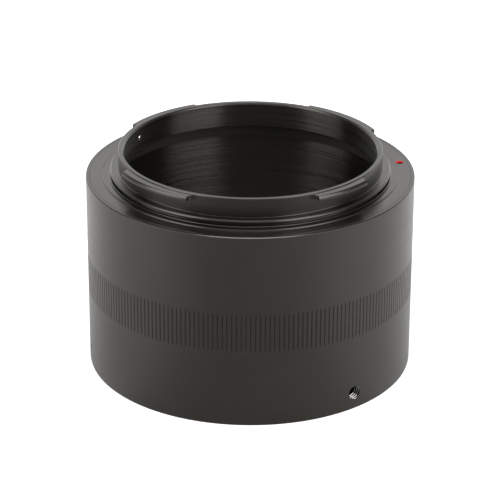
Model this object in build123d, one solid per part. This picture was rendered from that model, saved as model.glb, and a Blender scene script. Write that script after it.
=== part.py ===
"""T-mount adapter: a metal spacer with a four-lug bayonet on top and an M42 x 0.75 thread in its foot.

Frame: millimetres, origin at the centre of the foot, +Z up towards the bayonet, -Y is the front.
Angles round the axis are measured from the front, positive towards +X.
"""
from build123d import *
import os
from math import cos, degrees, radians, sin

# Register: the thread's face stands 55.0 mm from the film plane and the bayonet seat 16.0 mm
T_REGISTER = 55.0
BAYONET_REGISTER = 16.0
SEAT_Z = T_REGISTER - BAYONET_REGISTER

# Barrel
BARREL_R = 32.0
SEAT_PROUD = 0.18
FLANGE_Z = SEAT_Z - SEAT_PROUD
FLANGE_CHAMFER_R = 0.22
FLANGE_CHAMFER_Z = 0.12
FOOT_EDGE = 0.25
BORE_R = 26.8
FOOT_CHAMFER = 0.2

# Knurl band: straight V grooves along the axis
KNURL_Z0 = 15.36
KNURL_Z1 = 23.26
KNURL_COUNT = 224
KNURL_PHASE = 0.39
GROOVE_WIDTH = 0.26
GROOVE_DEPTH = 0.118

# Bayonet ring
SEAT_R = 28.86
SEAT_CHAMFER = 0.16
SKIRT_R = 26.5
SKIRT_Z = 36.0
WEB_Z = 38.9
PILOT_R = 27.28
PILOT_Z = 40.12
PILOT_CHAMFER = 0.27

# Relief groove between the seat and the pilot, with a small lip below it
LIP_R = 27.4
LIP_RISE = 0.09
NECK_R = 26.8
NECK_TOP_Z = 39.6

# Bayonet tube
TUBE_R = 25.65
RIM_Z = 43.85
THROAT_R = 24.48
RIM_CHAMFER = 0.34

# Bayonet lugs: start angle, end angle, outer radius, root fillet and cut of the outer corners
LUG_SPANS = [
    (28.0, 54.0, 27.25, 1.45, 0.0),
    (113.0, 153.0, 26.95, 0.8, 0.45),
    (205.5, 241.6, 26.95, 0.8, 0.45),
    (296.5, 334.2, 27.25, 1.45, 0.0),
]
LUG_TOP_Z = 43.71
LUG_LOW_Z = 42.87
LUG_CHAMFER_R = 0.35
LUG_CHAMFER_Z = 0.18

# Stop screw through the bayonet tube
STOP_ANGLE = -116.5
STOP_Z = 41.45
STOP_SHANK_R = 0.6
STOP_HEAD_R = 0.9
STOP_HEAD_OUT = 27.1
STOP_TIP_AT = 24.36
STOP_SLOT_WIDTH = 0.3
STOP_SLOT_DEPTH = 0.4

# Index mark on the flange face
DOT_ANGLE = 99.8
DOT_PITCH_R = 29.78
DOT_R = 0.82
DOT_DEPTH = 0.75
PAINT_THICKNESS = 0.12

# Threaded ring in the foot
RING_POCKET_R = 28.0
RING_POCKET_Z = 7.0
RING_FIT = 0.05
RING_END_GAP = 0.02
THREAD_MINOR_R = 20.6
THREAD_MOUTH = 0.5
THREAD_RELIEF_R = 21.4
THREAD_TOP_Z = 6.3

# Three M3 x 3 grub screws, 120 degrees apart, seated in a V groove round the ring
GRUB_ANGLES = {"a": 39.1, "b": 159.1, "c": 279.1}
GRUB_Z = 3.4
GRUB_HOLE_R = 1.5
GRUB_R = 1.45
GRUB_LENGTH = 3.0
GRUB_TIP_R = 0.35
GRUB_TIP_AT = 27.45
GRUB_SOCKET_AF = 1.5
GRUB_SOCKET_DEPTH = 1.2
V_GROOVE_R = 27.05


def revolved(points):
    """A solid of revolution about Z from its (radius, height) outline."""
    outline = Plane.XZ * make_face(Polyline(*points, close=True))
    return revolve(outline, Axis.Z)


def radial(angle, z):
    """A location on the axis at height z, its local Z pointing outwards at the angle and its local X up."""
    a = radians(angle)
    return Plane(origin=(0, 0, z), x_dir=(0, 0, 1), z_dir=(sin(a), -cos(a), 0)).location


def polar(radius, angle):
    """A point in plan at a radius and an angle from the front."""
    a = radians(angle)
    return (radius * sin(a), -radius * cos(a))


def rod(radius, low, high):
    """A cylinder along local Z from low to high."""
    return Pos(0, 0, (low + high) / 2) * Cylinder(radius, high - low)


def knurl_grooves():
    """The V grooves, one prism each."""
    half = GROOVE_WIDTH / 2
    spill = 0.3
    widest = half * (1 + spill / GROOVE_DEPTH)
    section = make_face(Polyline(
        (BARREL_R - GROOVE_DEPTH, 0),
        (BARREL_R + spill, widest),
        (BARREL_R + spill, -widest),
        close=True,
    ))
    groove = Pos(0, 0, KNURL_Z0) * extrude(section, KNURL_Z1 - KNURL_Z0)
    step = 360 / KNURL_COUNT
    return [Rot(0, 0, KNURL_PHASE + step * i) * groove for i in range(KNURL_COUNT)]


def dot_location():
    x, y = polar(DOT_PITCH_R, DOT_ANGLE)
    return Pos(x, y, FLANGE_Z)


def barrel():
    """The body tube: pocket for the threaded ring below, recess for the bayonet ring above."""
    body = revolved([
        (RING_POCKET_R + FOOT_CHAMFER, 0),
        (BARREL_R - FOOT_EDGE, 0),
        (BARREL_R, FOOT_EDGE),
        (BARREL_R, FLANGE_Z - FLANGE_CHAMFER_Z),
        (BARREL_R - FLANGE_CHAMFER_R, FLANGE_Z),
        (SEAT_R, FLANGE_Z),
        (SEAT_R, SKIRT_Z),
        (BORE_R, SKIRT_Z),
        (BORE_R, RING_POCKET_Z),
        (RING_POCKET_R, RING_POCKET_Z),
        (RING_POCKET_R, FOOT_CHAMFER),
    ])
    for angle in GRUB_ANGLES.values():
        body -= radial(angle, GRUB_Z) * rod(GRUB_HOLE_R, BORE_R, BARREL_R + 1)
    body -= dot_location() * Pos(0, 0, -DOT_DEPTH / 2) * Cone(0, DOT_R, DOT_DEPTH)
    body -= knurl_grooves()
    return body


def lug(start, end, outer, fillet, cut):
    """One lug between two angles, its end faces running into the tube by a concave fillet."""
    root = TUBE_R - 0.4
    band = revolved([
        (root, LUG_LOW_Z),
        (outer, LUG_LOW_Z),
        (outer, LUG_TOP_Z - LUG_CHAMFER_Z),
        (outer - LUG_CHAMFER_R, LUG_TOP_Z),
        (root, LUG_TOP_Z),
    ])
    height = LUG_TOP_Z - LUG_LOW_Z
    plan = lug_plan(start, end, outer, fillet, cut)
    return band & (Pos(0, 0, LUG_LOW_Z - 0.1) * extrude(plan, height + 0.2))


def lug_plan(start, end, outer, fillet, cut):
    """The lug seen from above: a sector, widened at the tube by the fillet and cut back at its outer corners."""
    spread = degrees(fillet / TUBE_R)
    mouth = TUBE_R + fillet
    bend = TUBE_R + fillet * (1 - sin(radians(45)))
    turn = spread * (1 - sin(radians(45)))
    inner = TUBE_R - 0.6
    back = degrees(cut / outer)
    reach = outer + 1

    def side(end_angle, turned_back):
        """The points of one end, from the fillet outwards; the corner's cut starts at the chamfer."""
        points = [polar(mouth, end_angle)]
        if cut:
            points += [polar(outer - LUG_CHAMFER_R, end_angle), polar(outer, turned_back)]
        return points + [polar(reach, turned_back)]

    edges = [
        Line(polar(inner, start - spread), polar(TUBE_R, start - spread)),
        ThreePointArc(polar(TUBE_R, start - spread), polar(bend, start - turn), polar(mouth, start)),
        Polyline(*side(start, start + back)),
        ThreePointArc(polar(reach, start + back), polar(reach, (start + end) / 2), polar(reach, end - back)),
        Polyline(*reversed(side(end, end - back))),
        ThreePointArc(polar(mouth, end), polar(bend, end + turn), polar(TUBE_R, end + spread)),
        Line(polar(TUBE_R, end + spread), polar(inner, end + spread)),
        ThreePointArc(
            polar(inner, end + spread),
            polar(inner, (start + end) / 2),
            polar(inner, start - spread),
        ),
    ]
    return make_face(edges)


def bayonet_ring():
    """Skirt in the barrel, seat face, relief groove, pilot, and a short tube with four lugs."""
    ring = revolved([
        (SKIRT_R, SKIRT_Z),
        (SEAT_R, SKIRT_Z),
        (SEAT_R, SEAT_Z - SEAT_CHAMFER),
        (SEAT_R - SEAT_CHAMFER, SEAT_Z),
        (LIP_R + LIP_RISE, SEAT_Z),
        (LIP_R, SEAT_Z + LIP_RISE),
        (NECK_R, SEAT_Z + LIP_RISE),
        (NECK_R, NECK_TOP_Z),
        (PILOT_R, NECK_TOP_Z),
        (PILOT_R, PILOT_Z - PILOT_CHAMFER),
        (PILOT_R - PILOT_CHAMFER, PILOT_Z),
        (TUBE_R, PILOT_Z),
        (TUBE_R, RIM_Z),
        (THROAT_R + RIM_CHAMFER, RIM_Z),
        (THROAT_R, RIM_Z - RIM_CHAMFER),
        (THROAT_R, WEB_Z),
        (SKIRT_R, WEB_Z),
    ])
    for span in LUG_SPANS:
        ring += lug(*span)
    ring -= radial(STOP_ANGLE, STOP_Z) * rod(STOP_SHANK_R, THROAT_R - 1, TUBE_R + 0.5)
    return ring


def stop_screw():
    """Shank through the tube, cheese head outside it with a slot."""
    shank = rod(STOP_SHANK_R, STOP_TIP_AT, TUBE_R + 0.3)
    head = rod(STOP_HEAD_R, TUBE_R + 0.02, STOP_HEAD_OUT)
    slot_z = STOP_HEAD_OUT - STOP_SLOT_DEPTH / 2
    slot = Pos(0, 0, slot_z) * Box(3 * STOP_HEAD_R, STOP_SLOT_WIDTH, STOP_SLOT_DEPTH)
    return radial(STOP_ANGLE, STOP_Z) * (shank + head - slot)


def index_dot():
    """The coat of paint in the conical dimple."""
    lift = PAINT_THICKNESS * DOT_DEPTH / DOT_R
    inner_r = DOT_R - PAINT_THICKNESS
    coat = Pos(0, 0, -DOT_DEPTH / 2) * Cone(0, DOT_R, DOT_DEPTH)
    coat -= Pos(0, 0, -(DOT_DEPTH - lift) / 2) * Cone(0, inner_r, DOT_DEPTH - lift)
    return dot_location() * coat


def t_ring():
    """The threaded ring, its bore at the thread's minor radius, with the V groove round it."""
    outer = RING_POCKET_R - RING_FIT
    v = outer - V_GROOVE_R
    top = RING_POCKET_Z - RING_END_GAP
    edge = 0.2
    return revolved([
        (THREAD_MINOR_R + THREAD_MOUTH, 0),
        (outer - edge, 0),
        (outer, edge),
        (outer, GRUB_Z - v),
        (V_GROOVE_R, GRUB_Z),
        (outer, GRUB_Z + v),
        (outer, top),
        (THREAD_RELIEF_R, top),
        (THREAD_RELIEF_R, THREAD_TOP_Z),
        (THREAD_MINOR_R, THREAD_TOP_Z),
        (THREAD_MINOR_R, THREAD_MOUTH),
    ])


def grub_screw(angle):
    """A cone-point socket screw whose tip lies in the ring's V groove."""
    cone_length = GRUB_R - GRUB_TIP_R
    shoulder = GRUB_TIP_AT + cone_length
    end = GRUB_TIP_AT + GRUB_LENGTH
    tip = Pos(0, 0, GRUB_TIP_AT + cone_length / 2) * Cone(GRUB_TIP_R, GRUB_R, cone_length)
    hexagon = RegularPolygon(GRUB_SOCKET_AF / 2, 6, major_radius=False)
    socket = Pos(0, 0, end - GRUB_SOCKET_DEPTH) * extrude(hexagon, GRUB_SOCKET_DEPTH)
    return radial(angle, GRUB_Z) * (tip + rod(GRUB_R, shoulder, end) - socket)


def build():
    """Every piece by the name of its node."""
    pieces = {
        "barrel": barrel(),
        "bayonet_ring": bayonet_ring(),
        "stop_screw": stop_screw(),
        "index_dot": index_dot(),
        "t_ring": t_ring(),
    }
    for letter, angle in GRUB_ANGLES.items():
        pieces[f"grub_screw_{letter}"] = grub_screw(angle)
    return pieces


os.makedirs("parts", exist_ok=True)
for name, shape in build().items():
    export_step(shape, f"parts/{name}.step")
    print(name, len(shape.solids()), round(shape.volume, 2))
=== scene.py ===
"""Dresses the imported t-mount adapter: black anodised aluminium, steel screws and a painted index mark.

Lengths are in millimetres until a mesh is made. Angles are in degrees from the front, positive towards +X.
"""
import math

import bmesh
import bpy
from mathutils import Matrix, Vector


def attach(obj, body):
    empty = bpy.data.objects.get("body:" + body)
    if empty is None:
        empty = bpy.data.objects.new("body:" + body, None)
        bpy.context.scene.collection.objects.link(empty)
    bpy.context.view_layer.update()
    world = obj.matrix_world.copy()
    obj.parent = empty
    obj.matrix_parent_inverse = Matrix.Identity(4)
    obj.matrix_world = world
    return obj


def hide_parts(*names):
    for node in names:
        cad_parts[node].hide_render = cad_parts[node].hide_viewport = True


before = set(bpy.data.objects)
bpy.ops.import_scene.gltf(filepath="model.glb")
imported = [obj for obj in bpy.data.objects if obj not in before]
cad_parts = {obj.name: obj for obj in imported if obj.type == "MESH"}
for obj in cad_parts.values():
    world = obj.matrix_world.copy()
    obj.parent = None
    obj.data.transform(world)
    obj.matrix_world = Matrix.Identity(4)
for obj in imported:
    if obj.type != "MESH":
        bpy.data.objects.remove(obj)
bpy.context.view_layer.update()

MM = 0.001

# How near a point counts as on a surface, and how far a cutting tool reaches past one
NEAR = 0.01
OVERSHOOT = 1.0

# Facets round the rings, the threaded ring's tap, the screws and the drill
RING_STEPS = 448
TAP_STEPS = 224
SCREW_STEPS = 48
DRILL_STEPS = 32

# Reach of a softened corner, and the steps of its curve
HAIR = 0.03
CRISP = 0.04
FINE = 0.05
MILD = 0.06
ROUND = 0.1
FULL = 0.2
SOFT_STEPS = 3

# An edge that turns by more than this stays hard; the second is for the shallow grooves of the knurl
SHARP_ANGLE = 38
KNURL_SHARP_ANGLE = 25

# Body tube
BODY_R = 32.0
FOOT_EDGE = 0.3
LOW_WALL_Z = 7
HIGH_WALL_Z = 31
FLANGE_Z = 38.82
FLANGE_CHAMFER_R = 0.22
FLANGE_CHAMFER_Z = 0.12
FLANGE_LINE_R = 31.25
FLANGE_LINE = 0.05
SEAM_WIDTH = 0.03
SEAM_DEPTH = 0.06
BORE_R = 26.8
BORE_TOP_Z = 36.0
POCKET_R = 28.0
POCKET_Z = 7.0

# Faces up to this far outside the pocket have the bore's finish
POCKET_MARGIN = 0.05

# Knurl band: straight V grooves
KNURL_COUNT = 224
KNURL_PHASE = 0.39
KNURL_Z0 = 15.36
KNURL_Z1 = 23.26
GROOVE_WIDTH = 0.26
GROOVE_DEPTH = 0.118
GROOVE_RUNOUT = 0.35

# Bayonet ring
SEAT_R = 28.86
SEAT_Z = 39.0
SEAT_CHAMFER = 0.16
SKIRT_R = 26.5
WEB_Z = 38.9
LIP_R = 27.4
LIP_RISE = 0.09
NECK_R = 26.8
NECK_TOP_Z = 39.6
PILOT_R = 27.28
PILOT_Z = 40.12
PILOT_CHAMFER = 0.27
TUBE_R = 25.65
TUBE_FILLET = 0.16
RIM_Z = 43.85
RIM_CHAMFER = 0.1
THROAT_R = 24.48
THROAT_CHAMFER = 0.34

# Faces up to this far outside the throat have the bore's finish
THROAT_MARGIN = 0.1

# A face is a wall where its normal rises less than this
WALL_RISE = 0.3

# Bayonet lugs: start angle, end angle, outer radius, root fillet and cut of the outer corners
LUG_SPANS = [
    (28.0, 54.0, 27.25, 1.45, 0.0),
    (113.0, 153.0, 26.95, 0.8, 0.45),
    (205.5, 241.6, 26.95, 0.8, 0.45),
    (296.5, 334.2, 27.25, 1.45, 0.0),
]
LUG_TOP_Z = 43.71
LUG_LOW_Z = 42.87
LUG_CHAMFER_R = 0.35
LUG_CHAMFER_Z = 0.18
LUG_EDGE = 0.05
LUG_EDGE_ANGLE = 15
LUG_EDGE_STEPS = 2
LUG_LAND = 0.18
LUG_LEAN = 0.13
LUG_SINK = 0.4
LUG_FILLET_GAP = 0.02
LUG_FILLET_ANGLES = (0, 15, 30, 45, 60, 75, 90)

# Stop screw through the bayonet tube: its domed tip is given as radius and distance behind the tip
STOP_ANGLE = -116.5
STOP_Z = 41.45
STOP_SHANK_R = 0.6
STOP_TIP_AT = 24.36
STOP_TIP = [(0, 0), (0.2, 0.02), (0.38, 0.08), (0.5, 0.17), (0.57, 0.3)]
STOP_NECK_R = 0.58
STOP_HEAD_R = 0.9
STOP_HEAD_OUT = 27.1
STOP_HEAD_GAP = 0.03
STOP_HEAD_EDGE = 0.05
STOP_HEAD_DOME = [(0, 0.15), (0.04, 0.06), (0.12, 0)]
STOP_SLOT_LENGTH = 3
STOP_SLOT_WIDTH = 0.3
STOP_SLOT_DEPTH = 0.4

# Index mark: a conical dimple, cut by a cone that goes on above the flange, and the paint in it. The paint's
# rim is given as inset from the dimple's edge and height, its hollow as share of the lip's radius and height.
DOT_ANGLE = 99.8
DOT_PITCH_R = 29.78
DOT_R = 0.82
DOT_DEPTH = 0.75
DIMPLE_FLARE = 1.4
DIMPLE_RISE = 0.4
PAINT_THICKNESS = 0.12
PAINT_RIM = [(0.01, -0.01), (0.05, -0.004)]
PAINT_LIP_Z = -0.03
PAINT_HOLLOW = [(0.8, -0.2), (0.55, -0.38), (0.3, -0.54), (0.12, -0.6)]
PAINT_LOW_Z = -0.61

# Threaded ring in the foot, M42 x 0.75
RING_R = 27.95
RING_TOP_Z = 6.98
RING_V_R = 27.05
RING_BORE_R = 20.6
RING_THREAD_R = 21.0
RING_PITCH = 0.75
RING_TAP_CLEAR = 0.1
RING_MOUTH = 0.1
RING_MOUTH_Z = 0.5
RING_RELIEF_R = 21.4
RING_RELIEF_Z = 6.3
RING_RUNOUT_R = 0.02
RING_RUNOUT_Z = 0.42

# Grub screws, M3 x 0.5
GRUB_ANGLES = {"a": 39.1, "b": 159.1, "c": 279.1}
GRUB_Z = 3.4
GRUB_PITCH = 0.5
GRUB_HOLE_R = 1.5
GRUB_HOLE_CREST_R = 1.23
GRUB_R = 1.45
GRUB_ROOT_R = 1.17
GRUB_CREST_SPARE = 0.02
GRUB_TIP_AT = 27.45
GRUB_END_AT = 30.45
GRUB_TIP_R = 0.35
GRUB_TIP_EDGE_R = 0.05
GRUB_TIP_EDGE_Z = 0.03
GRUB_END_CHAMFER = 0.22
GRUB_SOCKET_AF = 1.5
GRUB_SOCKET_DEPTH = 1.2

# Corners of a thread's profile: whether each is on the crest, and its share of the pitch
THREAD_PROFILE = [(False, 0.0), (False, 0.25), (True, 0.5625), (True, 0.6875)]


def polar(radius, angle, z):
    a = math.radians(angle)
    return Vector((radius * math.sin(a), -radius * math.cos(a), z)) * MM


def facing(angle):
    """The unit vector from the axis towards an angle."""
    a = math.radians(angle)
    return Vector((math.sin(a), -math.cos(a), 0))


def outward(angle, z):
    """The matrix of a frame on the axis at height z, its Z outwards at the angle and its X up."""
    along = facing(angle)
    up = Vector((0, 0, 1))
    side = along.cross(up)
    turn = Matrix((up, side, along)).transposed().to_4x4()
    return Matrix.Translation((0, 0, z * MM)) @ turn


def even_angles(count):
    return [360 * i / count for i in range(count)]


def softened(corners):
    """The outline with each corner turned into a small curve.

    A corner is its radius, its height and the reach, which is where the curve starts before it.
    """
    points = []
    for i, (r, z, reach) in enumerate(corners):
        corner = Vector((r, z))
        if reach == 0:
            points.append(corner)
            continue
        before = Vector(corners[i - 1][:2])
        after = Vector(corners[(i + 1) % len(corners)][:2])
        start = corner + (before - corner).normalized() * reach
        end = corner + (after - corner).normalized() * reach
        for k in range(SOFT_STEPS + 1):
            t = k / SOFT_STEPS
            points.append(start.lerp(corner, t).lerp(corner.lerp(end, t), t))
    return points


def join_rings(bm, rings):
    """Faces between each ring of points and the next."""
    for low, high in zip(rings, rings[1:]):
        count = len(low)
        for k in range(count):
            n = (k + 1) % count
            bm.faces.new((low[k], low[n], high[n], high[k]))


def lathe(outline, angles, dent=None):
    """A bmesh of the closed outline turned about Z.

    The function dent(radius, height, index) may move a point in or out.
    """
    bm = bmesh.new()
    rings = []
    for r, z in outline:
        ring = []
        for k, angle in enumerate(angles):
            radius = dent(r, z, k) if dent else r
            ring.append(bm.verts.new(polar(radius, angle, z)))
        rings.append(ring)
    join_rings(bm, rings + rings[:1])
    bmesh.ops.recalc_face_normals(bm, faces=bm.faces)
    return bm


def spindle(outline, count):
    """A bmesh of an open outline, on the axis at both ends, turned about Z."""
    bm = bmesh.new()
    angles = even_angles(count)
    rings = [[bm.verts.new(polar(r, a, z)) for a in angles] for r, z in outline[1:-1]]
    join_rings(bm, rings)
    for tip, ring in ((outline[0], rings[0]), (outline[-1], rings[-1])):
        apex = bm.verts.new(polar(0, 0, tip[1]))
        for k in range(count):
            bm.faces.new((apex, ring[k], ring[(k + 1) % count]))
    bmesh.ops.recalc_face_normals(bm, faces=bm.faces)
    return bm


def threaded_rod(crest_r, root_r, pitch, low, high, count):
    """A bmesh of a right-handed threaded rod with open flanks of 60 degrees and pointed ends."""
    step = len(THREAD_PROFILE)
    turns = math.ceil((high - low) / pitch)
    bm = bmesh.new()
    rows = []
    for row in range(turns * step):
        on_crest, share = THREAD_PROFILE[row % step]
        radius = crest_r if on_crest else root_r
        base = low + pitch * (row // step + share)
        points = [polar(radius, 360 * k / count, base + pitch * k / count) for k in range(count)]
        rows.append([bm.verts.new(point) for point in points])
    for i, row in enumerate(rows[:-1]):
        for k in range(count - 1):
            bm.faces.new((row[k], row[k + 1], rows[i + 1][k + 1], rows[i + 1][k]))
        if i + step + 1 < len(rows):
            bm.faces.new((row[-1], rows[i + step][0], rows[i + step + 1][0], rows[i + 1][-1]))
    start_edge = rows[0] + [rows[i][0] for i in range(step, 0, -1)]
    end_edge = rows[-1] + [rows[-i][-1] for i in range(2, step + 2)]
    bottom = bm.verts.new((0, 0, (low - pitch) * MM))
    top = bm.verts.new((0, 0, (high + 2 * pitch) * MM))
    for apex, edge in ((bottom, start_edge), (top, end_edge)):
        for a, b in zip(edge, edge[1:] + edge[:1]):
            bm.faces.new((apex, a, b))
    bmesh.ops.recalc_face_normals(bm, faces=bm.faces)
    return bm


def made(name, bm, *materials):
    """A mesh object from a bmesh, with its materials."""
    mesh = bpy.data.meshes.new(name)
    bm.to_mesh(mesh)
    bm.free()
    for material in materials:
        mesh.materials.append(material)
    obj = bpy.data.objects.new(name, mesh)
    bpy.context.scene.collection.objects.link(obj)
    return obj


def carved(obj, tool, operation="DIFFERENCE"):
    """Applies one Boolean to obj; the cut faces keep the tool's material. The tool is deleted."""
    modifier = obj.modifiers.new("carve", "BOOLEAN")
    modifier.object = tool
    modifier.operation = operation
    modifier.solver = "EXACT"
    modifier.material_mode = "TRANSFER"
    evaluated = obj.evaluated_get(bpy.context.evaluated_depsgraph_get())
    result = bpy.data.meshes.new_from_object(evaluated)
    obj.modifiers.remove(modifier)
    obj.data = result
    bpy.data.objects.remove(tool)
    return obj


def assign_materials(obj, material_of):
    """Gives each face the material that material_of(face) returns."""
    materials = obj.data.materials
    for face in obj.data.polygons:
        face.material_index = materials.find(material_of(face).name)


def smoothed(obj, sharp_from=SHARP_ANGLE, cut_material=None):
    """Smooth shading with hard edges, also between the cut material and the others."""
    mesh = obj.data
    for face in mesh.polygons:
        face.use_smooth = True
    mesh.set_sharp_from_angle(angle=math.radians(sharp_from))
    if cut_material:
        cut = mesh.materials.find(cut_material.name)
        sides = {}
        for face in mesh.polygons:
            for key in face.edge_keys:
                sides.setdefault(key, set()).add(face.material_index == cut)
        for edge in mesh.edges:
            if len(sides[edge.key]) == 2:
                edge.use_edge_sharp = True
    normals = obj.modifiers.new("flat faces stay flat", "WEIGHTED_NORMAL")
    normals.keep_sharp = True
    return obj


def feed(tree, target, inputs):
    """Sets each input of a node to a plain value, or links it to another node's socket."""
    for key, value in inputs.items():
        if isinstance(value, bpy.types.NodeSocket):
            tree.links.new(value, target.inputs[key])
        else:
            target.inputs[key].default_value = value


def node(tree, kind, inputs=None, **settings):
    """A new shader node with its inputs and settings."""
    new = tree.nodes.new(kind)
    for name, value in settings.items():
        setattr(new, name, value)
    feed(tree, new, inputs or {})
    return new


def number(tree, operation, *values):
    """The result of one Math node."""
    return node(tree, "ShaderNodeMath", dict(enumerate(values)), operation=operation).outputs[0]


def vector(tree, operation, *values):
    """The result of one Vector Math node."""
    return node(tree, "ShaderNodeVectorMath", dict(enumerate(values)), operation=operation).outputs[0]


def scaled(tree, value, factor):
    """A vector or colour times a number."""
    inputs = {0: value, "Scale": factor}
    return node(tree, "ShaderNodeVectorMath", inputs, operation="SCALE").outputs[0]


def ramp(tree, value, span, levels, kind="LINEAR"):
    """A number that goes from the first level to the second while the value crosses the span."""
    inputs = {
        "Value": value, "From Min": span[0], "From Max": span[1], "To Min": levels[0], "To Max": levels[1],
    }
    return node(tree, "ShaderNodeMapRange", inputs, interpolation_type=kind).outputs[0]


def noise(tree, place, scale, detail, roughness=0.5):
    """Cloudy noise between 0 and 1."""
    inputs = {"Vector": place, "Scale": scale, "Detail": detail, "Roughness": roughness}
    return node(tree, "ShaderNodeTexNoise", inputs).outputs[0]


def object_place(tree):
    """The shaded point, in the object's own frame."""
    return node(tree, "ShaderNodeTexCoord").outputs["Object"]


def split(tree, place):
    """The three coordinates of a place or direction, by name."""
    return node(tree, "ShaderNodeSeparateXYZ", {0: place}).outputs


def round_axis(tree, place):
    """A place's distance from the Z axis and its direction from it."""
    flat = vector(tree, "MULTIPLY", place, (1, 1, 0))
    radius = node(tree, "ShaderNodeVectorMath", {0: flat}, operation="LENGTH").outputs["Value"]
    return radius, vector(tree, "NORMALIZE", flat)


def emptied(tree):
    """A node tree without its starting nodes."""
    tree.nodes.clear()
    return tree


def new_material(name):
    """An empty material and its node tree."""
    material = bpy.data.materials.new(name)
    material.use_nodes = True
    return material, emptied(material.node_tree)


def shaded_material(name):
    """A material, its node tree and its Principled shader, already wired to the output."""
    material, tree = new_material(name)
    shader = node(tree, "ShaderNodeBsdfPrincipled")
    output = node(tree, "ShaderNodeOutputMaterial", {"Surface": shader.outputs[0]})
    output.is_active_output = True
    return material, tree, shader


# Turning marks: how much a step outwards counts against a step up, and how fast they change round the axis
OUTWARD_SHARE = 0.61
MARK_DRIFT = 1.3
BAND_DRIFT = 0.8
MARK_DETAIL = 3.0
MARK_ROUGHNESS = 0.65
BAND_DETAIL = 2.0
BLOTCH_SCALE = 90.0
BLOTCH_DETAIL = 4.0
BLOTCH_TINT = 0.15
NOISE_SPAN = (0.3, 0.7)
QUARTER_TURN = 0.25


def lathe_coordinates(tree, across, around):
    """Texture coordinates for a turned piece: fine along its outline, slow round its axis."""
    place = object_place(tree)
    radius, direction = round_axis(tree, place)
    path = number(tree, "MULTIPLY_ADD", radius, OUTWARD_SHARE, split(tree, place)["Z"])
    along = number(tree, "MULTIPLY", path, 1 / (across * MM))
    lift = node(tree, "ShaderNodeCombineXYZ", {"Z": along}).outputs[0]
    return vector(tree, "ADD", scaled(tree, direction, around), lift)


def turned_metal(name, colour, roughness, mark, depth, metallic=0.0, ior=1.6, anisotropy=0.0,
                 warm=(1, 1, 1, 1), band=0.9, banding=0.12):
    """Metal with turning marks.

    The marks are mark apart and depth high. The gloss bands are band wide and vary by banding.
    """
    material, tree, shader = shaded_material(name)
    marks = noise(tree, lathe_coordinates(tree, mark, MARK_DRIFT), 1.0, MARK_DETAIL, MARK_ROUGHNESS)
    bands = noise(tree, lathe_coordinates(tree, band, BAND_DRIFT), 1.0, BAND_DETAIL)
    blotch = noise(tree, object_place(tree), BLOTCH_SCALE, BLOTCH_DETAIL)
    shade = ramp(tree, blotch, NOISE_SPAN, (1 - BLOTCH_TINT, 1 + BLOTCH_TINT))
    bump = {"Height": marks, "Distance": depth * MM, "Strength": 1.0}
    feed(tree, shader, {
        "Base Color": scaled(tree, colour, shade),
        "Roughness": ramp(tree, bands, NOISE_SPAN, (roughness * (1 - banding), roughness * (1 + banding))),
        "Normal": node(tree, "ShaderNodeBump", bump).outputs[0],
        "Metallic": metallic,
        "IOR": ior,
        "Specular Tint": warm,
    })
    if anisotropy:
        tangent = node(tree, "ShaderNodeTangent", direction_type="RADIAL", axis="Z")
        feed(tree, shader, {
            "Anisotropic": anisotropy, "Anisotropic Rotation": QUARTER_TURN, "Tangent": tangent.outputs[0],
        })
    return material


BODY_BLACK = (0.0110, 0.0090, 0.0068)
FACE_BLACK = (0.0034, 0.0030, 0.0024)
BORE_BLACK = (0.0048, 0.0044, 0.0038)
RELIEF_BLACK = (0.0055, 0.0050, 0.0044)
BARE_METAL = (0.30, 0.295, 0.285)
DARK_STEEL = (0.045, 0.042, 0.040)
BRIGHT_STEEL = (0.86, 0.83, 0.77)
WARM = (1.0, 0.95, 0.88, 1)
METAL_IOR = 1.5

body_black = turned_metal(
    "body_black", BODY_BLACK, roughness=0.36, mark=0.10, depth=0.0003, warm=WARM, banding=0.04)
face_black = turned_metal(
    "face_black", FACE_BLACK, roughness=0.24, mark=0.08, depth=0.0006, anisotropy=0.65, warm=WARM)
wall_black = turned_metal(
    "wall_black", FACE_BLACK, roughness=0.30, mark=0.08, depth=0.0003, anisotropy=0.3, warm=WARM)
bore_black = turned_metal(
    "bore_black", BORE_BLACK, roughness=0.335, mark=0.30, depth=0.0300, anisotropy=1.0, warm=WARM,
    band=0.36, banding=0.2)
relief_black = turned_metal(
    "relief_black", RELIEF_BLACK, roughness=0.60, mark=0.30, depth=0.0030, warm=WARM, band=2.7)
bare_metal = turned_metal(
    "bare_metal", BARE_METAL, roughness=0.07, mark=0.05, depth=0.0002, metallic=1.0, ior=METAL_IOR)
screw_steel = turned_metal(
    "screw_steel", DARK_STEEL, roughness=0.34, mark=0.05, depth=0.001, metallic=1.0, ior=METAL_IOR)
stop_steel = turned_metal(
    "stop_steel", BRIGHT_STEEL, roughness=0.24, mark=0.05, depth=0.001, metallic=1.0, ior=METAL_IOR)

# The enamel's red, and the near-black of painted shade that takes over from it towards the bottom of the
# dimple, between the two heights
DEEP_SHADE_RED = (0.012, 0.003, 0.002, 1)
PAINT_RED = (0.66, 0.018, 0.008, 1)
SHADE_FULL_Z = -0.27
SHADE_START_Z = -0.09
RED_ROUGHNESS = 0.45
RED_SPECULAR = 0.12
RIPPLE_SCALE = 2500.0
RIPPLE_DETAIL = 3.0
RIPPLE_HEIGHT = 0.01


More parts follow.
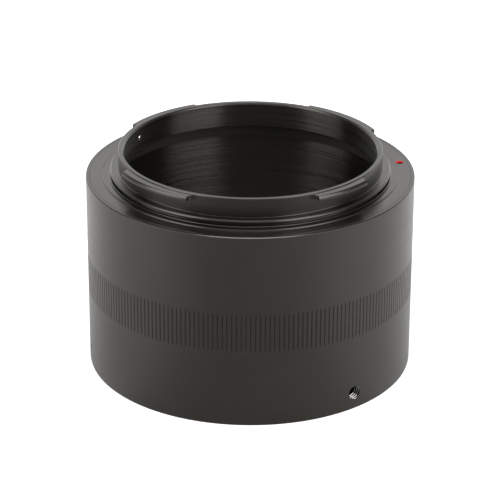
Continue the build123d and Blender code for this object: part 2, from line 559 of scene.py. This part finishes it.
def red_paint():
    """Satin red enamel, with painted shade that darkens it to near black towards the bottom of the dimple."""
    material, tree, shader = shaded_material("index_red")
    place = object_place(tree)
    ripple = noise(tree, place, RIPPLE_SCALE, RIPPLE_DETAIL)
    unshaded = ramp(tree, split(tree, place)["Z"], (SHADE_FULL_Z * MM, SHADE_START_Z * MM), (0.0, 1.0))
    colour = node(tree, "ShaderNodeMix", {"Factor": unshaded, "A": DEEP_SHADE_RED, "B": PAINT_RED}, data_type="RGBA")
    bump = node(tree, "ShaderNodeBump", {"Height": ripple, "Distance": RIPPLE_HEIGHT * MM})
    feed(tree, shader, {
        "Base Color": colour.outputs["Result"],
        "Normal": bump.outputs[0],
        "Roughness": RED_ROUGHNESS,
        "Specular IOR Level": RED_SPECULAR,
    })
    return material


index_red = red_paint()


def knurl_angles():
    """Four angles for each groove: its left edge, its bottom, its right edge and the middle of the land."""
    half = math.degrees(GROOVE_WIDTH / 2 / BODY_R)
    step = 360 / KNURL_COUNT
    angles = []
    for i in range(KNURL_COUNT):
        centre = KNURL_PHASE + i * step
        angles += [centre - half, centre, centre + half, centre + step / 2]
    return angles


def groove(r, z, k):
    """The outline's radius with the V grooves pressed in, at the second of each groove's four angles."""
    in_band = KNURL_Z0 < z < KNURL_Z1
    at_bottom = k % 4 == 1
    return r - GROOVE_DEPTH if in_band and at_bottom and r > BODY_R - NEAR else r


def barrel_material(face):
    if math.hypot(face.center.x, face.center.y) < (POCKET_R + POCKET_MARGIN) * MM:
        return bore_black
    return face_black if face.center.z > (FLANGE_Z - FLANGE_CHAMFER_Z - NEAR) * MM else body_black


def build_barrel():
    corners = [
        (POCKET_R, 0, FULL),
        (BODY_R, 0, FOOT_EDGE),
        (BODY_R, LOW_WALL_Z, 0),
        (BODY_R, KNURL_Z0, 0),
        (BODY_R, KNURL_Z0 + GROOVE_RUNOUT, 0),
        (BODY_R, KNURL_Z1 - GROOVE_RUNOUT, 0),
        (BODY_R, KNURL_Z1, 0),
        (BODY_R, HIGH_WALL_Z, 0),
        (BODY_R, FLANGE_Z - FLANGE_CHAMFER_Z, HAIR),
        (BODY_R - FLANGE_CHAMFER_R, FLANGE_Z, HAIR),
        (FLANGE_LINE_R + FLANGE_LINE, FLANGE_Z, 0),
        (FLANGE_LINE_R, FLANGE_Z - FLANGE_LINE, 0),
        (FLANGE_LINE_R - FLANGE_LINE, FLANGE_Z, 0),
        (SEAT_R + SEAM_WIDTH, FLANGE_Z, 0),
        (SEAT_R, FLANGE_Z - SEAM_DEPTH, 0),
        (SEAT_R, BORE_TOP_Z, 0),
        (BORE_R, BORE_TOP_Z, MILD),
        (BORE_R, POCKET_Z, MILD),
        (POCKET_R, POCKET_Z, 0),
    ]
    mesh = lathe(softened(corners), knurl_angles(), groove)
    barrel = made("barrel_body", mesh, body_black, face_black, bore_black)
    assign_materials(barrel, barrel_material)
    cone = [(0, -DOT_DEPTH), (DOT_R * DIMPLE_FLARE, DOT_DEPTH * DIMPLE_RISE), (0, DOT_DEPTH)]
    dimple = made("dimple", spindle(cone, SCREW_STEPS), face_black)
    dimple.location = polar(DOT_PITCH_R, DOT_ANGLE, FLANGE_Z)
    carved(barrel, dimple)
    inner, outer = GRUB_TIP_AT - OVERSHOOT, BODY_R + OVERSHOOT
    for letter, angle in GRUB_ANGLES.items():
        rod = threaded_rod(GRUB_HOLE_R, GRUB_HOLE_CREST_R, GRUB_PITCH, inner, outer, SCREW_STEPS)
        tap = made("tap_" + letter, rod, bare_metal)
        tap.matrix_world = outward(angle, GRUB_Z)
        carved(barrel, tap)
    return smoothed(barrel, KNURL_SHARP_ANGLE, bare_metal)


barrel = build_barrel()
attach(barrel, "barrel")
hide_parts("barrel")


def lug_section(outer, fillet, cut):
    """A lug's cross-section as radius, height and how far its end spreads there.

    Each end runs into the tube by a concave curve, and the outer face leans in above a land.
    """
    columns = [(TUBE_R - LUG_SINK, fillet)]
    for angle in LUG_FILLET_ANGLES:
        t = math.radians(angle)
        columns.append((TUBE_R + fillet * (1 - math.cos(t)), fillet * (1 - math.sin(t))))
    flat_from = outer - LUG_CHAMFER_R
    columns = [column for column in columns if column[0] < flat_from - LUG_FILLET_GAP]
    columns += [(flat_from, 0), (outer, -cut)]
    section = [(r, LUG_LOW_Z, spread) for r, spread in columns]
    section.append((outer, LUG_LOW_Z + LUG_LAND, -cut))
    section.append((outer - LUG_LEAN, LUG_TOP_Z - LUG_CHAMFER_Z, -cut))
    section += [(r, LUG_TOP_Z, spread) for r, spread in reversed(columns[:-1])]
    return section, len(columns)


def lug_mesh(start, end, outer, fillet, cut):
    """A bmesh of one lug from its start angle to its end angle, with fine rounded edges."""
    bm = bmesh.new()
    section, low_count = lug_section(outer, fillet, cut)
    steps = round(end - start)
    slices = []
    for i in range(steps + 1):
        ring = []
        for r, z, spread in section:
            flare = math.degrees(spread / r)
            angle = start - flare + (end - start + 2 * flare) * i / steps
            ring.append(bm.verts.new(polar(r, angle, z)))
        slices.append(ring)
    join_rings(bm, slices)
    count = len(section)
    for ring in (slices[0], slices[-1]):
        for k in range(low_count - 1):
            bm.faces.new((ring[k], ring[k + 1], ring[count - 2 - k], ring[count - 1 - k]))
        bm.faces.new(ring[low_count - 1:low_count + 2])
    bmesh.ops.recalc_face_normals(bm, faces=bm.faces)
    least_angle = math.radians(LUG_EDGE_ANGLE)
    least_r = (TUBE_R + NEAR) * MM
    crisp = []
    for edge in bm.edges:
        radius = min(math.hypot(vert.co.x, vert.co.y) for vert in edge.verts)
        if edge.calc_face_angle(0) > least_angle and radius > least_r:
            crisp.append(edge)
    bmesh.ops.bevel(
        bm, geom=crisp, offset=LUG_EDGE * MM, segments=LUG_EDGE_STEPS, affect="EDGES", clamp_overlap=True)
    return bm


def bayonet_material(face):
    if math.hypot(face.center.x, face.center.y) < (THROAT_R + THROAT_MARGIN) * MM:
        return bore_black
    if face.normal.xy.dot(face.center.xy) < 0 and face.center.z < (WEB_Z + NEAR) * MM:
        return relief_black
    return wall_black if abs(face.normal.z) < WALL_RISE else face_black


def build_bayonet():
    corners = [
        (SKIRT_R, BORE_TOP_Z, ROUND),
        (SEAT_R, BORE_TOP_Z, 0),
        (SEAT_R, SEAT_Z - SEAT_CHAMFER, 0),
        (SEAT_R - SEAT_CHAMFER, SEAT_Z, 0),
        (LIP_R + LIP_RISE, SEAT_Z, 0),
        (LIP_R, SEAT_Z + LIP_RISE, HAIR),
        (NECK_R, SEAT_Z + LIP_RISE, FINE),
        (NECK_R, NECK_TOP_Z, FINE),
        (PILOT_R, NECK_TOP_Z, HAIR),
        (PILOT_R, PILOT_Z - PILOT_CHAMFER, CRISP),
        (PILOT_R - PILOT_CHAMFER, PILOT_Z, CRISP),
        (TUBE_R, PILOT_Z, TUBE_FILLET),
        (TUBE_R, RIM_Z - RIM_CHAMFER, 0),
        (TUBE_R - RIM_CHAMFER, RIM_Z, 0),
        (THROAT_R + THROAT_CHAMFER, RIM_Z, FINE),
        (THROAT_R, RIM_Z - THROAT_CHAMFER, FINE),
        (THROAT_R, WEB_Z, MILD),
        (SKIRT_R, WEB_Z, 0),
    ]
    mesh = lathe(softened(corners), even_angles(RING_STEPS))
    ring = made("bayonet_ring_body", mesh, face_black, bore_black, relief_black, wall_black)
    for span in LUG_SPANS:
        carved(ring, made("lug", lug_mesh(*span), face_black), "UNION")
    assign_materials(ring, bayonet_material)
    inner, outer = THROAT_R - OVERSHOOT, TUBE_R + OVERSHOOT
    hole = spindle([(0, inner), (STOP_SHANK_R, inner), (STOP_SHANK_R, outer), (0, outer)], DRILL_STEPS)
    drill = made("stop_hole", hole, bore_black)
    drill.matrix_world = outward(STOP_ANGLE, STOP_Z)
    carved(ring, drill)
    return smoothed(ring)


bayonet = build_bayonet()
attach(bayonet, "barrel")
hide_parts("bayonet_ring")


def build_stop_screw():
    under_head = TUBE_R + STOP_HEAD_GAP
    outline = [(r, STOP_TIP_AT + back) for r, back in STOP_TIP]
    outline += [
        (STOP_NECK_R, under_head),
        (STOP_HEAD_R - STOP_HEAD_EDGE, under_head),
        (STOP_HEAD_R, under_head + STOP_HEAD_EDGE),
    ]
    outline += [(STOP_HEAD_R - inset, STOP_HEAD_OUT - back) for inset, back in STOP_HEAD_DOME]
    outline.append((0, STOP_HEAD_OUT))
    screw = made("stop_screw_steel", spindle(outline, SCREW_STEPS), stop_steel)
    slot = bmesh.new()
    bmesh.ops.create_cube(slot, size=1)
    size = Vector((STOP_SLOT_LENGTH, STOP_SLOT_WIDTH, 2 * STOP_SLOT_DEPTH)) * MM
    bmesh.ops.scale(slot, vec=size, verts=slot.verts)
    bmesh.ops.translate(slot, vec=(0, 0, STOP_HEAD_OUT * MM), verts=slot.verts)
    carved(screw, made("slot", slot, stop_steel))
    screw.matrix_world = outward(STOP_ANGLE, STOP_Z)
    return smoothed(screw)


stop = build_stop_screw()
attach(stop, "barrel")
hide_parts("stop_screw")


def build_index_paint():
    lip = DOT_R - PAINT_THICKNESS
    outline = [(0, -DOT_DEPTH + NEAR)]
    outline += [(DOT_R - inset, z) for inset, z in PAINT_RIM]
    outline.append((lip, PAINT_LIP_Z))
    outline += [(lip * share, z) for share, z in PAINT_HOLLOW]
    outline.append((0, PAINT_LOW_Z))
    paint = made("index_paint", spindle(outline, SCREW_STEPS), index_red)
    paint.location = polar(DOT_PITCH_R, DOT_ANGLE, FLANGE_Z)
    return smoothed(paint)


paint = build_index_paint()
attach(paint, "barrel")
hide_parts("index_dot")


def build_t_ring():
    v = RING_R - RING_V_R
    corners = [
        (RING_THREAD_R + RING_MOUTH, 0, CRISP),
        (RING_R, 0, FULL),
        (RING_R, GRUB_Z - v, 0),
        (RING_V_R, GRUB_Z, 0),
        (RING_R, GRUB_Z + v, 0),
        (RING_R, RING_TOP_Z, ROUND),
        (RING_RELIEF_R, RING_TOP_Z, ROUND),
        (RING_RELIEF_R, RING_RELIEF_Z, 0),
        (RING_THREAD_R + RING_RUNOUT_R, RING_RELIEF_Z, 0),
        (RING_BORE_R, RING_RELIEF_Z - RING_RUNOUT_Z, 0),
        (RING_BORE_R, RING_MOUTH_Z, 0),
    ]
    ring = made("t_ring_body", lathe(softened(corners), even_angles(RING_STEPS)), face_black)
    low, high = -2 * RING_PITCH, RING_TOP_Z - RING_TAP_CLEAR
    rod = threaded_rod(RING_THREAD_R, RING_BORE_R - RING_TAP_CLEAR, RING_PITCH, low, high, TAP_STEPS)
    carved(ring, made("tap", rod, bore_black))
    return smoothed(ring)


t_ring = build_t_ring()
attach(t_ring, "t_ring")
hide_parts("t_ring")


def build_grub_screw():
    """One cone-point socket screw along Z, as far from the origin as the real one is from the axis."""
    outline = [
        (0, GRUB_TIP_AT),
        (GRUB_TIP_R - GRUB_TIP_EDGE_R, GRUB_TIP_AT),
        (GRUB_TIP_R, GRUB_TIP_AT + GRUB_TIP_EDGE_Z),
        (GRUB_R, GRUB_TIP_AT + GRUB_R - GRUB_TIP_R),
        (GRUB_R, GRUB_END_AT - GRUB_END_CHAMFER),
        (GRUB_R - GRUB_END_CHAMFER, GRUB_END_AT),
        (0, GRUB_END_AT),
    ]
    screw = made("grub_screw", spindle(outline, SCREW_STEPS), screw_steel)
    inner, outer = GRUB_TIP_AT - OVERSHOOT, BODY_R + OVERSHOOT
    rod = threaded_rod(GRUB_R + GRUB_CREST_SPARE, GRUB_ROOT_R, GRUB_PITCH, inner, outer, SCREW_STEPS)
    carved(screw, made("die", rod, screw_steel), "INTERSECT")
    key = bmesh.new()
    corner_r = GRUB_SOCKET_AF / math.cos(math.radians(30)) / 2 * MM
    bmesh.ops.create_cone(
        key, cap_ends=True, segments=6, radius1=corner_r, radius2=corner_r,
        depth=2 * GRUB_SOCKET_DEPTH * MM)
    bmesh.ops.translate(key, vec=(0, 0, GRUB_END_AT * MM), verts=key.verts)
    carved(screw, made("key", key, screw_steel))
    return smoothed(screw)


grub = build_grub_screw()
for letter, angle in GRUB_ANGLES.items():
    screw = grub.copy()
    screw.name = "grub_screw_" + letter + "_steel"
    bpy.context.scene.collection.objects.link(screw)
    screw.matrix_world = outward(angle, GRUB_Z)
    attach(screw, "grub_" + letter)
    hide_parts("grub_screw_" + letter)
bpy.data.objects.remove(grub)

# The room in reflections: a bright sweep behind the object, open below in the middle, under a dim ceiling.
# A pair is a span of the direction's X, Y or Z, or the levels at a span's two ends.
SWEEP_DEPTH_Y = (0.25, 0.85)
SWEEP_TOP_Z = (0.5, 0.75)
SWEEP_FOOT_Z = (0.18, 0.34)
SWEEP_WING_X = (0.20, 0.34)
SWEEP_LEVEL = 1.4
CEILING_Z = (0.55, 0.85)
CEILING_LEVELS = (0.26, 0.62)
OFF_TO_ON = (0.0, 1.0)
ON_TO_OFF = (1.0, 0.0)
PLAIN_LEVEL = 0.35
WHITE_LEVEL = 1.0


def light_world():
    """White to the camera, plain on matt surfaces, and the room in reflections."""
    world = bpy.data.worlds.new("white_room")
    bpy.context.scene.world = world
    world.use_nodes = True
    tree = emptied(world.node_tree)
    path = node(tree, "ShaderNodeLightPath").outputs
    towards = split(tree, node(tree, "ShaderNodeTexCoord").outputs["Generated"])
    behind = ramp(tree, towards["Y"], SWEEP_DEPTH_Y, OFF_TO_ON, "SMOOTHSTEP")
    below_top = ramp(tree, towards["Z"], SWEEP_TOP_Z, ON_TO_OFF, "SMOOTHSTEP")
    above_foot = ramp(tree, towards["Z"], SWEEP_FOOT_Z, OFF_TO_ON, "SMOOTHSTEP")
    aside = number(tree, "ABSOLUTE", towards["X"])
    in_wing = ramp(tree, aside, SWEEP_WING_X, OFF_TO_ON, "SMOOTHSTEP")
    clear = number(tree, "MAXIMUM", above_foot, in_wing)
    curtain = number(tree, "MULTIPLY", below_top, clear)
    sweep = number(tree, "MULTIPLY", behind, curtain)
    ceiling = ramp(tree, towards["Z"], CEILING_Z, CEILING_LEVELS, "SMOOTHSTEP")
    mirrored = ramp(tree, sweep, OFF_TO_ON, (ceiling, SWEEP_LEVEL))
    white = number(tree, "MAXIMUM", path["Is Camera Ray"], path["Is Transmission Ray"])
    plain = ramp(tree, white, OFF_TO_ON, (PLAIN_LEVEL, WHITE_LEVEL))
    choice = {"Factor": path["Is Glossy Ray"], "A": plain, "B": mirrored}
    strength = node(tree, "ShaderNodeMix", choice, data_type="FLOAT").outputs[0]
    background = node(tree, "ShaderNodeBackground", {"Color": (1, 1, 1, 1), "Strength": strength})
    node(tree, "ShaderNodeOutputWorld", {"Surface": background.outputs[0]})


# The floor in reflections: darker in front, lighter towards the rear, and dimmer close to the object
FLOOR_FRONT_Y = (-1.0, -0.5)
FLOOR_FRONT_LEVELS = (0.55, 1.08)
FLOOR_LEAN = 0.1
FLOOR_REAR_Y = (-0.2, 0.9)
FLOOR_REAR_LEVELS = (0.0, 0.45)
FLOOR_CLOSE_REACH = 2.8
FLOOR_CLOSE_LEVELS = (0.78, 1.0)
FLOOR_UNDER_LEVEL = 0.35
FLOOR_COLOUR = (0.8, 0.8, 0.8, 1)
FLOOR_GLOW = 0.6
FLOOR_HALF_SIDE = 3
FLOOR_DROP = 0.02


def lay_floor():
    """A pale floor that looks white to the camera and keeps the object's shadow."""
    material, tree = new_material("floor_white")
    radius, direction = round_axis(tree, object_place(tree))
    towards = split(tree, direction)
    path = node(tree, "ShaderNodeLightPath").outputs
    front = ramp(tree, towards["Y"], FLOOR_FRONT_Y, FLOOR_FRONT_LEVELS, "SMOOTHSTEP")
    lean = number(tree, "MULTIPLY_ADD", towards["X"], FLOOR_LEAN, towards["Y"])
    rear = ramp(tree, lean, FLOOR_REAR_Y, FLOOR_REAR_LEVELS)
    close = (BODY_R * MM, FLOOR_CLOSE_REACH * BODY_R * MM)
    outside = ramp(tree, radius, close, FLOOR_CLOSE_LEVELS)
    under = number(tree, "LESS_THAN", radius, BODY_R * MM)
    around = number(tree, "ADD", front, rear)
    ground = number(tree, "MULTIPLY", around, outside)
    choice = {"Factor": under, "A": ground, "B": FLOOR_UNDER_LEVEL}
    reflected = node(tree, "ShaderNodeMix", choice, data_type="FLOAT").outputs[0]
    matte = node(tree, "ShaderNodeBsdfDiffuse", {"Color": FLOOR_COLOUR}).outputs[0]
    glow = node(tree, "ShaderNodeEmission", {"Strength": FLOOR_GLOW}).outputs[0]
    mirror = node(tree, "ShaderNodeEmission", {"Strength": reflected}).outputs[0]
    lit = node(tree, "ShaderNodeAddShader", {0: matte, 1: glow}).outputs[0]
    straight = node(tree, "ShaderNodeMixShader", {0: path["Is Camera Ray"], 1: matte, 2: lit}).outputs[0]
    surface = node(tree, "ShaderNodeMixShader", {0: path["Is Glossy Ray"], 1: straight, 2: mirror})
    node(tree, "ShaderNodeOutputMaterial", {"Surface": surface.outputs[0]})
    sheet = bmesh.new()
    bmesh.ops.create_grid(sheet, x_segments=1, y_segments=1, size=FLOOR_HALF_SIDE)
    floor = made("floor", sheet, material)
    floor.location.z = -FLOOR_DROP * MM


# Lamps, in metres: the softboxes stand upright at one distance from the axis, between two heights
SOFTBOX_DISTANCE = 0.6
SOFTBOX_LOW = 0.08
SOFTBOX_HIGH = 1.25
OVERHEAD_SIZE = (0.42, 0.26)
OVERHEAD_PLACE = (0, 0.06, 0.75)
OVERHEAD_RADIANCE = 5.5

# Watts that give an area lamp of one square metre a radiance of one
LAMP_POWER = 4


def hang_lamp(name, shape, size, area, radiance, place):
    """An area lamp of the given radiance, pointing down."""
    data = bpy.data.lights.new(name, "AREA")
    data.shape = shape
    data.size, data.size_y = size
    data.energy = LAMP_POWER * radiance * area
    lamp = bpy.data.objects.new(name, data)
    lamp.location = place
    bpy.context.scene.collection.objects.link(lamp)
    return lamp


def hang_softbox(name, azimuth, half_angle, radiance):
    """An upright rectangular lamp facing the axis; it spans the azimuth plus and minus half_angle."""
    out = facing(azimuth)
    width = 2 * SOFTBOX_DISTANCE * math.tan(math.radians(half_angle))
    height = SOFTBOX_HIGH - SOFTBOX_LOW
    place = out * SOFTBOX_DISTANCE + Vector((0, 0, (SOFTBOX_LOW + SOFTBOX_HIGH) / 2))
    lamp = hang_lamp(name, "RECTANGLE", (width, height), width * height, radiance, place)
    lamp.rotation_mode = "QUATERNION"
    lamp.rotation_quaternion = out.to_track_quat("Z", "Y")


def hang_overhead():
    """A small soft lamp above, a little behind the axis."""
    width, length = OVERHEAD_SIZE
    area = math.pi / 4 * width * length
    hang_lamp("overhead", "ELLIPSE", OVERHEAD_SIZE, area, OVERHEAD_RADIANCE, OVERHEAD_PLACE)


light_world()
lay_floor()
hang_softbox("right_front", azimuth=53.4, half_angle=23.9, radiance=2.9)
hang_softbox("left_front", azimuth=-73, half_angle=19, radiance=2.7)
hang_overhead()

# Camera: its place in metres, its tilt below the horizon and its roll
CAMERA_PLACE = (0, -0.424378, 0.213235)
CAMERA_TILT = 24.251
CAMERA_ROLL = 0.239
CAMERA_LENS = 169.47
CAMERA_SENSOR = 36
CAMERA_CLIP = (0.01, 20)


def place_camera():
    data = bpy.data.cameras.new("camera")
    data.lens = CAMERA_LENS
    data.sensor_width = CAMERA_SENSOR
    data.clip_start, data.clip_end = CAMERA_CLIP
    camera = bpy.data.objects.new("camera", data)
    camera.location = CAMERA_PLACE
    tilt = Matrix.Rotation(math.radians(90 - CAMERA_TILT), 4, "X")
    roll = Matrix.Rotation(math.radians(CAMERA_ROLL), 4, "Z")
    camera.rotation_mode = "QUATERNION"
    camera.rotation_quaternion = (tilt @ roll).to_quaternion()
    bpy.context.scene.collection.objects.link(camera)
    bpy.context.scene.camera = camera


place_camera()
bpy.context.scene.view_settings.view_transform = "Standard"
